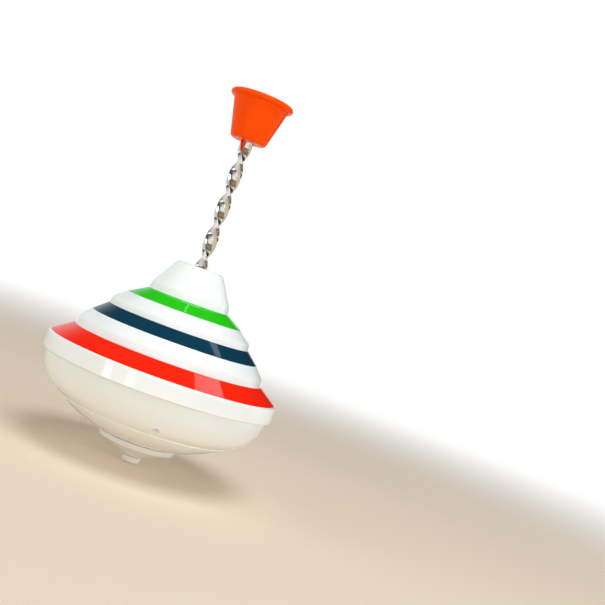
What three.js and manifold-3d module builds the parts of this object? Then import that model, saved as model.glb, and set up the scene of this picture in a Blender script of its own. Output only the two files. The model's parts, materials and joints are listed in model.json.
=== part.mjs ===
// Hand-pumped spinning top with lights and music.
// Millimetres, +Z up along the spin axis. Heights are written from a datum plane just below the tip,
// and the finished group is lowered by TIP_POINT, which puts its origin at the point of the tip.
// The rod stands fully pulled out. Pushing the handle down turns the body through a clutch in the cap.

import * as THREE from 'three';
import { mergeVertices } from 'three/addons/utils/BufferGeometryUtils.js';
import Module from 'manifold-3d';

const wasm = await Module();
wasm.setup();

// ---------------------------------------------------------------- driving dimensions

const GAP = 0.3;            // running and assembly clearance between two pieces
const FINE = 40;            // facets round the large shells
const MEDIUM = 28;          // facets round the handle and the clutch
const COARSE = 10;          // facets round screws and posts

// Outline of the stepped dome: [radius, height] of each ring, from the cap down to the rim.
const CAP_TOP = [10.4, 93.0];
const CAP_RIDGE = [17.7, 80.7];
const CAP_FOOT = [18.2, 77.6];
const TIER_2_BEND = [25.9, 73.1];
const TIER_2_RIDGE = [31.6, 68.6];
const TIER_2_FOOT = [32.0, 65.8];
const TIER_3_BEND = [37.7, 60.9];
const TIER_3_RIDGE = [42.2, 56.1];
const TIER_3_FOOT = [42.8, 52.8];
const RED_FOOT = [51.2, 47.05];
const RIM_TOP = [52.0, 46.5];
const SKIRT_FOOT = [52.3, 39.7];
const SKIRT_INSIDE = 50.7;  // radius inside the skirt
const DOME_INSET = [-1.5, -1.9];  // the inside of the dome is its outside moved by this

const BAND_DEPTH = 1.1;     // groove that a coloured band sits in
const BAND_THICK = 0.8;

// Bowl: a quarter ellipse down to a crease, then a rounded flank in to the foot.
const BOWL_TOP = 44.0;
const BOWL_CENTRE = [30, 39];
const BOWL_AXES = [20.3, 17.6];
const BOWL_WALL = 1.9;
const CREASE_RADIUS = 38.3;
const FLANK_PULL = [29.5, 16.5];  // the point that the flank's curve bends towards
const FLANK_FOOT = [18.9, 13.9];
const SEAT_RADIUS = 15.2;   // step that the foot cap fits round
const FLOOR_RADIUS = 13.2;
const FLOOR_UNDER = 11.9;
const FLOOR_TOP = 14.2;

const RING_TOP = [18.3, 13.2];    // the foot cap's ring, and the cone under it
const RING_FOOT = [17.1, 11.2];
const COLLAR = [4.9, 5.9];
const SPIGOT_ROOM = 3.2;    // bore of the foot cap that the tip's spigot fits in

const TIP_POINT = 2.3;      // height of the point above the datum
const TIP_FLAT = 1.0;       // radius of the small flat that touches the table
const TIP_RADIUS = 4.5;
const TIP_TOP = 5.6;
const SPIGOT = { radius: 2.9, top: 9.5 };
const TIP_SCREW = { under: 4.2, headUnder: 13.3, headTop: 14.1, shank: 1.1, head: 2.5 };

// Four screws hold the shells together. Each head sits at the end of a well in the bowl.
const SHELL_SCREW = {
  circle: 43.3, angles: [103.4, 163.4, 283.4, 343.4],
  headUnder: 28.4, headTop: 29.9, tip: 42, head: 1.4, shank: 0.8,
};
const WELL = { radius: 1.65, top: 30.2, tube: 3.0, tubeTop: 33.0 };
const SHELL_BOSS_RADIUS = 2.8;

// Rod: a flat strip twisted to the left.
const STRIP_WIDTH = 5.6;
const STRIP_THICK = 2.2;
const LEAD = 30;            // height of one full turn
const EDGE_ON_HEIGHT = 98.5;  // height where the strip's width lies along Y
const STRIP_BOTTOM = 78.8;
const STRIP_TOP = 168.2;

const CAP_HOLE = 3.3;
const COLLAR_UNDER = 89.2;

// Clutch, from the top down.
const WASHER = { under: 87.9, top: 88.9, radius: 7.5, ear: 9.6 };
const NUT = { top: 87.6, flangeUnder: 85.2, hubUnder: 79.2, flange: 8.0, hub: 4.5 };
const TEETH = 12;
const TOOTH_ANGLE = 11.5;
const TOOTH_HEIGHT = 1.0;
const CUP_ROOT = 82.6;      // foot of the fixed teeth
const CUP_RADIUS = 8.0;
const TUBE_BORE = 4.3;
const TUBE_RADIUS = 5.5;
const TUBE_UNDER = 14.8;
const FLANGE = { under: 76.2, top: 78.0, radius: 14.6 };
const CLUTCH_SCREW = {
  circle: 11.5, angles: [0, 120, 240],
  headUnder: 74.4, headTop: 75.9, tip: 83.5, head: 1.9, shank: 1.0,
};
const GUIDE = { under: 75.0, top: 78.5, radius: 3.9 };

const HANDLE_UNDER = 152.0;
const HANDLE_TOP = 172.4;
const HANDLE_RIBS = 6;
const BOSS_TOP = 166.0;      // centre boss in the handle that the strip comes up through

// Electronics under the dome.
const BOARD = { under: 35.0, top: 36.6, radius: 33, bore: 9 };
const BOARD_POSTS = { circle: 27, angles: [10, 170, 290] };
const BOARD_SCREW = { headUnder: 0, headTop: 1.2, tip: 8.6, head: 1.8, shank: 0.8 };
const CONTACT_X = 8.9;      // the two battery contacts stand this far from the middle
const CELL = { radius: 5.8, thick: 5.4, y: 28.0, z: 27.2 };
const HOLDER = { x: 10.6, y: [20.7, 35.3], top: 34.2, wall: 1.2 };
const DOOR = { x: [-10.5, 17.2], y: [21.2, 34.4] };
const DOOR_PAD_TOP = 22.2;  // the pad inside the door that its screw passes through
const DOOR_SCREW = { place: [13.6, 27.8], headUnder: 19.4, headTop: 20.6, tip: 28.5, head: 2.0, shank: 0.9 };
const SPEAKER = { x: -13, y: -21, under: 28.3, radius: 9.8 };
const SWITCH_ANGLE = -30;   // where the spin switch stands on the board

// ---------------------------------------------------------------- shape helpers

const radians = (degrees) => degrees * Math.PI / 180;

// A closed solid from any three.js geometry: shared corners merged, collapsed faces dropped.
function solid(geometry) {
  const bare = new THREE.BufferGeometry();
  bare.setAttribute('position', geometry.getAttribute('position'));
  if (geometry.index) bare.setIndex(geometry.index);
  const merged = mergeVertices(bare, 1e-4);
  const corners = merged.index.array;
  const kept = [];
  for (let i = 0; i < corners.length; i += 3) {
    const [a, b, c] = [corners[i], corners[i + 1], corners[i + 2]];
    if (a !== b && b !== c && c !== a) kept.push(a, b, c);
  }
  return new wasm.Manifold(new wasm.Mesh({
    numProp: 3,
    vertProperties: new Float32Array(merged.getAttribute('position').array),
    triVerts: new Uint32Array(kept),
  }));
}

// Turns an outline of [radius, height] points round the Z axis.
// The outline closes on itself or on the axis.
function turn(outline, facets) {
  const points = outline.map(([r, z]) => new THREE.Vector2(r, z));
  if (THREE.ShapeUtils.area(points) < 0) points.reverse();
  if (points[0].x > 0 || points[points.length - 1].x > 0) points.push(points[0].clone());
  const geometry = new THREE.LatheGeometry(points, facets);
  geometry.rotateX(Math.PI / 2);
  return solid(geometry);
}

const rod = (radius, under, top, facets = COARSE) =>
  turn([[0, under], [radius, under], [radius, top], [0, top]], facets);

const ring = (bore, radius, under, top, facets = COARSE) =>
  turn([[bore, under], [radius, under], [radius, top], [bore, top]], facets);

// A box from its lowest corner to its highest.
function block(low, high) {
  const size = high.map((value, i) => value - low[i]);
  const geometry = new THREE.BoxGeometry(...size);
  geometry.translate(...low.map((value, i) => value + size[i] / 2));
  return solid(geometry);
}

// A point on a circle round the spin axis, and a solid moved or turned about that axis.
const onCircle = (radius, degrees) => [radius * Math.cos(radians(degrees)), radius * Math.sin(radians(degrees))];
const moved = (piece, [x, y], z = 0) => piece.translate([x, y, z]);
const spun = (piece, degrees) => piece.rotate([0, 0, degrees]);
const join = (pieces) => pieces.reduce((whole, piece) => whole.add(piece));

// The flat strip with its corners turned about the axis in step with their height.
function twistedStrip(width, thick, under, top) {
  const steps = Math.ceil((top - under) / LEAD * 24);
  const geometry = new THREE.BoxGeometry(width, thick, top - under, 1, 1, steps);
  geometry.translate(0, 0, (top + under) / 2);
  const place = geometry.getAttribute('position');
  const corner = new THREE.Vector3();
  for (let i = 0; i < place.count; i++) {
    corner.fromBufferAttribute(place, i);
    corner.applyAxisAngle(new THREE.Vector3(0, 0, 1), stripAngle(corner.z));
    place.setXYZ(i, corner.x, corner.y, corner.z);
  }
  return solid(geometry);
}

const stripAngle = (z) => Math.PI / 2 - 2 * Math.PI * (z - EDGE_ON_HEIGHT) / LEAD;

// Room for the strip to run through: the strip with a clearance all round.
const stripRoom = (under, top) =>
  twistedStrip(STRIP_WIDTH + 2 * GAP, STRIP_THICK + 2 * GAP, under, top);

// A screw pointing up: pan head with a cross recess below, shank above.
function screw({ headUnder, headTop, tip, head, shank }) {
  const body = turn([
    [0, headUnder], [head - 0.4, headUnder], [head, headUnder + 0.4], [head, headTop],
    [shank, headTop], [shank, tip - 1], [0, tip],
  ], COARSE);
  const deep = headUnder + 0.5;
  const slot = head * 0.6;
  const cross = block([-slot, -0.2, headUnder - 1], [slot, 0.2, deep])
    .add(block([-0.2, -slot, headUnder - 1], [0.2, slot, deep]));
  return body.subtract(cross);
}

// The same piece at each of several angles round the spin axis.
const around = (circle, angles, piece) => angles.map((angle) => moved(piece, onCircle(circle, angle)));

// ---------------------------------------------------------------- upper shell and bands

const BANDS = [
  { name: 'green_band', top: CAP_FOOT, foot: TIER_2_BEND, colour: 0x2fc41b },
  { name: 'navy_band', top: TIER_2_FOOT, foot: TIER_3_BEND, colour: 0x123c52 },
  { name: 'red_band', top: TIER_3_FOOT, foot: RED_FOOT, colour: 0xfb2a10 },
];

// A point moved along a band's slope, and down square to it.
function onBand({ top, foot }, from, along, down) {
  const slope = new THREE.Vector2(foot[0] - top[0], foot[1] - top[1]).normalize();
  const inward = new THREE.Vector2(slope.y, -slope.x);
  return [from[0] + slope.x * along + inward.x * down, from[1] + slope.y * along + inward.y * down];
}

const grooveOutline = (band) => [
  band.top,
  onBand(band, band.top, 0, BAND_DEPTH),
  onBand(band, band.foot, 0, BAND_DEPTH),
  band.foot,
];

const bandRing = (band) => turn([
  onBand(band, band.top, GAP, 0),
  onBand(band, band.top, GAP, BAND_THICK),
  onBand(band, band.foot, -GAP, BAND_THICK),
  onBand(band, band.foot, -GAP, 0),
], FINE);

const DOME_OUTSIDE = [
  [CAP_HOLE, CAP_TOP[1]], CAP_TOP, CAP_RIDGE, ...grooveOutline(BANDS[0]),
  TIER_2_RIDGE, ...grooveOutline(BANDS[1]), TIER_3_RIDGE, ...grooveOutline(BANDS[2]),
  RIM_TOP, SKIRT_FOOT,
];

// The dome's inside, from the skirt up to the cap. "extra" moves it out into the wall.
function domeInside(extra = 0) {
  const rings = [
    TIER_3_FOOT, TIER_3_RIDGE, TIER_3_BEND, TIER_2_FOOT, TIER_2_RIDGE, TIER_2_BEND,
    CAP_FOOT, CAP_RIDGE, CAP_TOP,
  ];
  const moved = rings.map(([r, z]) => [r + DOME_INSET[0] + extra, z + DOME_INSET[1] + extra]);
  return [[SKIRT_INSIDE, SKIRT_FOOT[1]], [SKIRT_INSIDE, BOWL_TOP + 0.4], ...moved];
}

function upperShell() {
  const capUnder = CAP_TOP[1] + DOME_INSET[1];
  const dome = turn([...DOME_OUTSIDE, ...domeInside(), [CAP_HOLE, capUnder]], FINE);
  const collar = ring(CAP_HOLE, 6.5, COLLAR_UNDER, capUnder + 0.5, MEDIUM);
  const shellBosses = around(SHELL_SCREW.circle, SHELL_SCREW.angles,
    ring(SHELL_SCREW.shank + GAP, SHELL_BOSS_RADIUS, WELL.tubeTop + GAP, TIER_3_FOOT[1]));
  const clutchBosses = around(CLUTCH_SCREW.circle, CLUTCH_SCREW.angles,
    ring(CLUTCH_SCREW.shank + GAP, 2.6, FLANGE.top + GAP, NUT.top));
  const reach = domeInside(0.5);
  const room = turn([[0, SKIRT_FOOT[1] - 10], [SKIRT_INSIDE, SKIRT_FOOT[1] - 10], ...reach.slice(1),
    [0, reach.at(-1)[1]]], FINE);
  return join([dome, collar, join([...shellBosses, ...clutchBosses]).intersect(room)]);
}

// ---------------------------------------------------------------- lower shell, foot and tip

// The bowl's ellipse as [radius, height] points from its widest ring to the crease.
function bowlBulge(wall, steps) {
  const [a, b] = BOWL_AXES.map((axis) => axis - wall);
  const end = Math.acos((CREASE_RADIUS - BOWL_CENTRE[0]) / a);
  return Array.from({ length: steps + 1 }, (_, i) => {
    const angle = end * i / steps;
    return [BOWL_CENTRE[0] + a * Math.cos(angle), BOWL_CENTRE[1] - b * Math.sin(angle)];
  });
}

// The flank's curve from the crease to the foot, without its first point.
function bowlFlank(crease, rise, steps) {
  const curve = new THREE.QuadraticBezierCurve(
    new THREE.Vector2(...crease),
    new THREE.Vector2(FLANK_PULL[0], FLANK_PULL[1] + rise),
    new THREE.Vector2(FLANK_FOOT[0], FLANK_FOOT[1] + rise),
  );
  return curve.getPoints(steps).slice(1).map((point) => [point.x, point.y]);
}

// The bowl's inside from its rim to the floor. "extra" moves it out into the wall.
function bowlInside(extra = 0) {
  const wall = BOWL_WALL - extra;
  const bulge = bowlBulge(wall, 4);
  const widest = BOWL_CENTRE[0] + BOWL_AXES[0] - wall;
  return [
    [widest, BOWL_TOP], ...bulge, ...bowlFlank(bulge.at(-1), wall, 2),
    [FLOOR_RADIUS + 0.2, FLANK_FOOT[1] + wall], [FLOOR_RADIUS, FLOOR_TOP - extra], [0, FLOOR_TOP - extra],
  ];
}

function bowl() {
  const bulge = bowlBulge(0, 7);
  return turn([
    [BOWL_CENTRE[0] + BOWL_AXES[0], BOWL_TOP], ...bulge, ...bowlFlank(bulge.at(-1), 0, 4),
    [SEAT_RADIUS, FLANK_FOOT[1]], [SEAT_RADIUS, FLOOR_UNDER], [0, FLOOR_UNDER],
    ...bowlInside().reverse(),
  ], FINE);
}

const doorHole = (gap) => block([DOOR.x[0] - gap, DOOR.y[0] - gap, 5], [DOOR.x[1] + gap, DOOR.y[1] + gap, 30]);

function lowerShell() {
  const tubes = around(SHELL_SCREW.circle, SHELL_SCREW.angles, rod(WELL.tube, 20, WELL.tubeTop));
  const posts = around(BOARD_POSTS.circle, BOARD_POSTS.angles, rod(2.5, 10, BOARD.under - GAP));
  const speakerSeat = moved(
    ring(SPEAKER.radius - 1.8, SPEAKER.radius - 0.4, 10, SPEAKER.under - GAP, MEDIUM),
    [SPEAKER.x, SPEAKER.y],
  );
  const tubeSocket = ring(TUBE_RADIUS + GAP, 7.2, 13, 18, MEDIUM);
  const room = turn([...bowlInside(0.5), [0, BOWL_TOP]], FINE);
  const inside = join([...tubes, ...posts, speakerSeat, tubeSocket]).intersect(room);
  const well = rod(WELL.radius, 15, WELL.top).add(rod(SHELL_SCREW.shank + GAP, 20, 40));
  const cuts = [
    ...around(SHELL_SCREW.circle, SHELL_SCREW.angles, well),
    ...around(BOARD_POSTS.circle, BOARD_POSTS.angles, rod(BOARD_SCREW.shank + GAP, 27, 40)),
    rod(TIP_SCREW.shank + GAP, 5, 20, MEDIUM),
    rod(TIP_SCREW.head + GAP, 13.0, 20, MEDIUM),
    doorHole(GAP),
  ];
  return bowl().add(inside).subtract(join(cuts));
}

// The battery door is the piece of the bowl that the opening leaves out, with a pad for its screw.
function batteryDoor() {
  const pad = moved(rod(2.9, 17, DOOR_PAD_TOP), DOOR_SCREW.place);
  const head = moved(rod(DOOR_SCREW.head + GAP, 5, DOOR_SCREW.headTop + GAP), DOOR_SCREW.place);
  const shank = moved(rod(DOOR_SCREW.shank + GAP, 5, 25), DOOR_SCREW.place);
  const above = turn([...bowlInside(0.5), [0, BOWL_TOP]], FINE);
  return bowl().intersect(doorHole(0)).add(pad.intersect(above)).subtract(head).subtract(shank);
}

// A ring and a cone in one, with a hub that bears against the bowl's floor.
const footCap = () => turn([
  [SPIGOT_ROOM, COLLAR[1]], COLLAR, RING_FOOT, RING_TOP, [RING_TOP[0], FLANK_FOOT[1] - GAP],
  [SEAT_RADIUS + GAP, FLANK_FOOT[1] - GAP], [SEAT_RADIUS + GAP, 11.4], [12.0, 10.2], [5.2, 8.6],
  [5.2, FLOOR_UNDER - GAP], [SPIGOT_ROOM, FLOOR_UNDER - GAP],
], FINE);

const tip = () => {
  const bore = TIP_SCREW.shank + GAP;
  const boreUnder = TIP_SCREW.under - GAP;
  return turn([
    [0, TIP_POINT], [TIP_FLAT, TIP_POINT], [3.4, 2.85], [4.1, 3.3], [4.35, 4.0], [TIP_RADIUS, TIP_TOP],
    [SPIGOT.radius, TIP_TOP], [SPIGOT.radius, SPIGOT.top],
    [bore, SPIGOT.top], [bore, boreUnder], [0, boreUnder],
  ], 24);
};

const tipScrew = () => turn([
  [0, TIP_SCREW.under], [TIP_SCREW.shank, TIP_SCREW.under + 1], [TIP_SCREW.shank, TIP_SCREW.headUnder],
  [TIP_SCREW.head, TIP_SCREW.headUnder], [TIP_SCREW.head, TIP_SCREW.headTop], [0, TIP_SCREW.headTop],
], COARSE);

// ---------------------------------------------------------------- rod and handle

function twistedRod() {
  const strip = twistedStrip(STRIP_WIDTH, STRIP_THICK, STRIP_BOTTOM, STRIP_TOP);
  const neck = rod(1.2, 74.2, STRIP_BOTTOM + 0.5);
  const peenedHead = rod(2.2, 73.7, 74.7);
  return join([strip, neck, peenedHead]);
}

const rodGuide = () => ring(1.5, GUIDE.radius, GUIDE.under, GUIDE.top, MEDIUM);

// A cup with a rolled bead, a centre boss for the rod and thin ribs between boss and wall.
function handleCup() {
  const beadRadius = 1.35;
  const bead = [13.0, HANDLE_TOP - beadRadius];
  const beadArc = Array.from({ length: 8 }, (_, i) => {
    const angle = radians(-100 + i * 40);
    return [bead[0] + beadRadius * Math.cos(angle), bead[1] + beadRadius * Math.sin(angle)];
  });
  const floor = HANDLE_UNDER + 1.8;
  const cup = turn([
    [0, HANDLE_UNDER], [7.4, HANDLE_UNDER], [8.2, HANDLE_UNDER + 0.8], [12.4, 169.6],
    ...beadArc, [11.2, 170.2], [6.9, floor], [4.3, floor], [4.3, BOSS_TOP], [0, BOSS_TOP],
  ], MEDIUM);
  const room = turn([[0, floor - 0.4], [7.2, floor - 0.4], [10.8, BOSS_TOP], [0, BOSS_TOP]], MEDIUM);
  const ribs = join(Array.from({ length: HANDLE_RIBS }, (_, i) =>
    spun(block([3, -0.55, HANDLE_UNDER], [14, 0.55, 170]), i * 360 / HANDLE_RIBS)));
  return cup.add(ribs.intersect(room)).subtract(stripRoom(HANDLE_UNDER - 1, BOSS_TOP + 1));
}

// A spring-steel washer pushed over the strip's end, which holds the cup on.
const pushWasher = () => turn([
  [0, BOSS_TOP + GAP], [4.3, BOSS_TOP + GAP], [4.3, BOSS_TOP + 0.7], [3.6, BOSS_TOP + 1.2], [0, BOSS_TOP + 1.2],
], MEDIUM).subtract(stripRoom(BOSS_TOP - 1, STRIP_TOP + 1));

// ---------------------------------------------------------------- clutch

// A ring of face teeth standing between two heights.
function faceTeeth(bore, radius, under, top, turned) {
  const half = radians(TOOTH_ANGLE / 2);
  const shape = new THREE.Shape();
  shape.absarc(0, 0, radius, -half, half, false);
  shape.absarc(0, 0, bore, half, -half, true);
  const geometry = new THREE.ExtrudeGeometry(shape, { depth: top - under, bevelEnabled: false, curveSegments: 2 });
  geometry.translate(0, 0, under);
  const tooth = solid(geometry);
  return join(Array.from({ length: TEETH }, (_, i) => spun(tooth, turned + i * 360 / TEETH)));
}

function driveNut() {
  const body = turn([
    [0, NUT.hubUnder], [NUT.hub, NUT.hubUnder], [NUT.hub, NUT.flangeUnder], [NUT.flange, NUT.flangeUnder],
    [NUT.flange, NUT.top], [0, NUT.top],
  ], MEDIUM);
  const teeth = faceTeeth(5.3, CUP_RADIUS - 0.2, NUT.flangeUnder - TOOTH_HEIGHT, NUT.flangeUnder + 0.4, 15);
  return body.add(teeth).subtract(stripRoom(NUT.hubUnder - 1, NUT.top + 1));
}

function thrustWasher() {
  const ears = [60, 180, 300].map((angle) =>
    spun(block([6, -1.5, WASHER.under], [WASHER.ear, 1.5, WASHER.top]), angle));
  return join([ring(3.6, WASHER.radius, WASHER.under, WASHER.top, MEDIUM), ...ears]);
}

// The fixed half of the clutch with the long tube that guides the rod's lower end.
function clutchHousing() {
  const hubRoom = NUT.hub + 0.4;
  const body = turn([
    [TUBE_BORE, TUBE_UNDER], [TUBE_RADIUS, TUBE_UNDER], [TUBE_RADIUS, FLANGE.under],
    [FLANGE.radius, FLANGE.under], [FLANGE.radius, FLANGE.top], [CUP_RADIUS, FLANGE.top],
    [CUP_RADIUS, CUP_ROOT], [hubRoom, CUP_ROOT], [hubRoom, 77.5], [TUBE_BORE, 77.5],
  ], MEDIUM);
  const teeth = faceTeeth(5.3, CUP_RADIUS - 0.2, CUP_ROOT - 0.4, CUP_ROOT + TOOTH_HEIGHT, 0);
  const holes = around(CLUTCH_SCREW.circle, CLUTCH_SCREW.angles, rod(CLUTCH_SCREW.shank + GAP, 70, 80));
  return body.add(teeth).subtract(join(holes));
}

// ---------------------------------------------------------------- electronics

// The slot that a battery contact's tab passes through, in the board and in the holder under it.
const tabSlot = (side) =>
  block([side * CONTACT_X - 0.5, 26.2, 30], [side * CONTACT_X + 0.5, 29.8, 40]);

function board() {
  const holes = around(BOARD_POSTS.circle, BOARD_POSTS.angles, rod(BOARD_SCREW.shank + GAP, 30, 40));
  const slots = [-1, 1].map(tabSlot);
  return ring(BOARD.bore, BOARD.radius, BOARD.under, BOARD.top, FINE).subtract(join([...holes, ...slots]));
}

const lamp = (angle) => moved(turn([
  [0, BOARD.top + GAP], [2.9, BOARD.top + GAP], [2.9, 38.0], [2.5, 38.0], [2.5, 42.6], [1.8, 44.3], [0, 45.0],
], COARSE), onCircle(22, angle));

const melodyChip = () => moved(turn([
  [0, BOARD.top + GAP], [4.6, BOARD.top + GAP], [3.8, 37.9], [2.2, 38.5], [0, 38.6],
], MEDIUM), onCircle(22, 240));

function cell(index) {
  const geometry = new THREE.CylinderGeometry(CELL.radius, CELL.radius, CELL.thick, 24);
  geometry.rotateZ(Math.PI / 2);
  geometry.translate(index * (CELL.thick + GAP), CELL.y, CELL.z);
  return solid(geometry);
}

// An open-bottomed box over the battery opening, trimmed to stand clear of the bowl.
function batteryHolder() {
  const [back, front] = HOLDER.y;
  const outside = block([-HOLDER.x, back, 14], [HOLDER.x, front, HOLDER.top]);
  const inside = block(
    [HOLDER.wall - HOLDER.x, back + HOLDER.wall, 10], [HOLDER.x - HOLDER.wall, front - HOLDER.wall, 33.4]);
  const bossUnder = DOOR_PAD_TOP + GAP;
  const web = block([HOLDER.x - 0.3, 27.0, bossUnder], [DOOR_SCREW.place[0], 28.6, 30]);
  const boss = moved(rod(2.4, bossUnder, 30), DOOR_SCREW.place);
  const pilot = moved(rod(DOOR_SCREW.shank + GAP, 20, 29), DOOR_SCREW.place);
  const bowlRoom = turn([[0, 0], [60, 0], [60, BOWL_TOP], ...bowlInside(-GAP)], FINE);
  const cuts = join([pilot, ...[-1, 1].map(tabSlot), bowlRoom]);
  return join([outside.subtract(inside), web, boss]).subtract(cuts);
}

// A flat contact with a tab that reaches up through the board.
const contactPlate = (side) =>
  block([side * CONTACT_X - 0.2, 23.5, 22.8], [side * CONTACT_X + 0.2, 32.5, 32.7])
    .add(block([side * CONTACT_X - 0.2, 26.5, 32], [side * CONTACT_X + 0.2, 29.5, 37.4]));

const speaker = () => moved(turn([
  [0, SPEAKER.under + 1.2], [7.2, SPEAKER.under], [SPEAKER.radius, SPEAKER.under],
  [SPEAKER.radius, SPEAKER.under + 1.4], [5.4, SPEAKER.under + 1.9], [5.4, 33.0], [0, 33.0],
], MEDIUM), [SPEAKER.x, SPEAKER.y]);

// A thin lead from the speaker's terminal up to the board.
function speakerLead(side) {
  const start = new THREE.Vector3(SPEAKER.x + 7.4, SPEAKER.y + side * 1.6, 30.4);
  const path = new THREE.CatmullRomCurve3([
    start,
    start.clone().add(new THREE.Vector3(0.6, side * 0.4, 1.2)),
    start.clone().add(new THREE.Vector3(2.0, side * 0.9, 2.0)),
    start.clone().add(new THREE.Vector3(3.0, side * 1.0, 3.0)),
    start.clone().add(new THREE.Vector3(3.2, side * 1.0, 4.3)),
  ]);
  const section = new THREE.Shape();
  section.absarc(0, 0, 0.5, 0, 2 * Math.PI, false);
  return solid(new THREE.ExtrudeGeometry(section, {
    steps: 8, curveSegments: 6, bevelEnabled: false, extrudePath: path,
  }));
}

// Spin switch: a leaf with a weight swings outward and meets a post when the top spins.
// Drawn along X and then turned to its place on the board.
const SWITCH_ROOT = [22, -4];
const switchBase = () => block([19.5, -7.5, BOARD.top + GAP], [24.5, -4.3, 41]);
const switchLeaf = () => block([SWITCH_ROOT[0] - 0.2, -4.0, 37.9], [SWITCH_ROOT[0] + 0.2, 2.6, 40.2]);
const switchWeight = () => moved(rod(1.5, 37.6, 40.6), [SWITCH_ROOT[0], 4.4]);
const switchPost = () => moved(rod(0.5, BOARD.top + GAP, 41), [25.2, 4.4]);
const atSwitch = (piece) => spun(piece, SWITCH_ANGLE);

// ---------------------------------------------------------------- assembly

const top = new THREE.Group();

function place(name, piece, colour, roughness, metalness = 0) {
  const { vertProperties, triVerts } = piece.getMesh();
  const geometry = new THREE.BufferGeometry();
  geometry.setAttribute('position', new THREE.BufferAttribute(vertProperties, 3));
  geometry.setIndex(new THREE.BufferAttribute(triVerts, 1));
  geometry.computeVertexNormals();
  const mesh = new THREE.Mesh(geometry, new THREE.MeshStandardMaterial({ color: colour, roughness, metalness }));
  mesh.name = name;
  top.add(mesh);
}

const WHITE = 0xf1efe6;
const ORANGE = 0xff500a;
const NATURAL = 0xe6e1cf;
const STEEL = 0xc9c7c2;
const BRASS = 0xb8934a;
const COPPER = 0xb87345;

function placeScrews(name, circle, angles, piece) {
  around(circle, angles, piece).forEach((copy, i) => place(`${name}_${i + 1}`, copy, STEEL, 0.3, 1));
}

place('upper_shell', upperShell(), WHITE, 0.18);
for (const band of BANDS) place(band.name, bandRing(band), band.colour, 0.12);
place('lower_shell', lowerShell(), WHITE, 0.2);
place('foot_cap', footCap(), WHITE, 0.22);
place('tip', tip(), WHITE, 0.3);
place('tip_screw', tipScrew(), STEEL, 0.3, 1);
placeScrews('shell_screw', SHELL_SCREW.circle, SHELL_SCREW.angles, screw(SHELL_SCREW));

place('handle_cup', handleCup(), ORANGE, 0.35);
place('push_washer', pushWasher(), STEEL, 0.3, 1);
place('twisted_rod', twistedRod(), STEEL, 0.15, 1);
place('rod_guide', rodGuide(), NATURAL, 0.4);

place('thrust_washer', thrustWasher(), NATURAL, 0.4);
place('drive_nut', driveNut(), NATURAL, 0.4);
place('clutch_housing', clutchHousing(), NATURAL, 0.4);
placeScrews('clutch_screw', CLUTCH_SCREW.circle, CLUTCH_SCREW.angles, screw(CLUTCH_SCREW));

place('circuit_board', board(), 0x2e6b3a, 0.45);
const boardScrewTop = BOARD.top + GAP + BOARD_SCREW.headTop;
const boardScrew = moved(screw(BOARD_SCREW).rotate([180, 0, 0]), [0, 0], boardScrewTop);
placeScrews('board_screw', BOARD_POSTS.circle, BOARD_POSTS.angles, boardScrew);
place('lamp_red', lamp(60), 0xff3030, 0.1);
place('lamp_green', lamp(180), 0x30e040, 0.1);
place('lamp_blue', lamp(300), 0x3060ff, 0.1);
place('melody_chip', melodyChip(), 0x151515, 0.5);
place('switch_base', atSwitch(switchBase()), 0x222222, 0.5);
place('switch_leaf', atSwitch(switchLeaf()), COPPER, 0.3, 1);
place('switch_weight', atSwitch(switchWeight()), BRASS, 0.3, 1);
place('switch_post', atSwitch(switchPost()), BRASS, 0.3, 1);

place('battery_holder', batteryHolder(), 0x303030, 0.5);
[-1, 0, 1].forEach((index) => place(`button_cell_${index + 2}`, cell(index), STEEL, 0.25, 1));
place('contact_plate_1', contactPlate(-1), STEEL, 0.3, 1);
place('contact_plate_2', contactPlate(1), STEEL, 0.3, 1);
place('battery_door', batteryDoor(), WHITE, 0.2);
place('battery_door_screw', moved(screw(DOOR_SCREW), DOOR_SCREW.place), STEEL, 0.3, 1);

place('speaker', speaker(), 0x3a3a3a, 0.5);
place('speaker_lead_1', speakerLead(-1), 0xc02020, 0.5);
place('speaker_lead_2', speakerLead(1), 0x202020, 0.5);

top.position.z = -TIP_POINT;

export default top;
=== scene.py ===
# %% [markdown]
# # A hand-pumped spinning top
#
# The top is a finger cup on a twisted strip, over a stepped white dome with three coloured
# bands, a round bowl, a foot ring and a short tip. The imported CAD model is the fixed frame:
# it says where every piece sits and what it moves with. This file gives each piece its fine
# surface and its finish. Everything is in metres, with +Z up along the spin axis and the
# point of the tip at the origin.

# %% The frame
import json
import math

import bmesh
import bpy
from mathutils import Matrix, Vector


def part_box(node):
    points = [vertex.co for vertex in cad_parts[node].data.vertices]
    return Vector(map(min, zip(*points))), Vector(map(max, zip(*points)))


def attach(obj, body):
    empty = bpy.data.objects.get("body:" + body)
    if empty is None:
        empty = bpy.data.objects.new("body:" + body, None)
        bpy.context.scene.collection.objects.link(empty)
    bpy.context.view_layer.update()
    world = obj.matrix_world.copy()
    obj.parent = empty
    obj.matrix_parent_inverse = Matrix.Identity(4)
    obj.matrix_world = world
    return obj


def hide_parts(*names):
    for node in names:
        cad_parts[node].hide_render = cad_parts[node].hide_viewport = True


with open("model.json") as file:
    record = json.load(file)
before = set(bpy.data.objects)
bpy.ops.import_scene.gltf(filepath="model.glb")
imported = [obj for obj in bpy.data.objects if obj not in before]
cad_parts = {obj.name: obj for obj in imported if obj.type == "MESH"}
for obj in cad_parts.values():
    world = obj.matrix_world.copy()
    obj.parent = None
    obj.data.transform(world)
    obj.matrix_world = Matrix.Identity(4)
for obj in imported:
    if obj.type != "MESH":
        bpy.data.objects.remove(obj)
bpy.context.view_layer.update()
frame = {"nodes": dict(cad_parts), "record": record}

MM = 0.001
TIP_POINT = 2.3  # millimetres: pieces are drawn from a datum this far under the tip, then lowered

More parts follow.
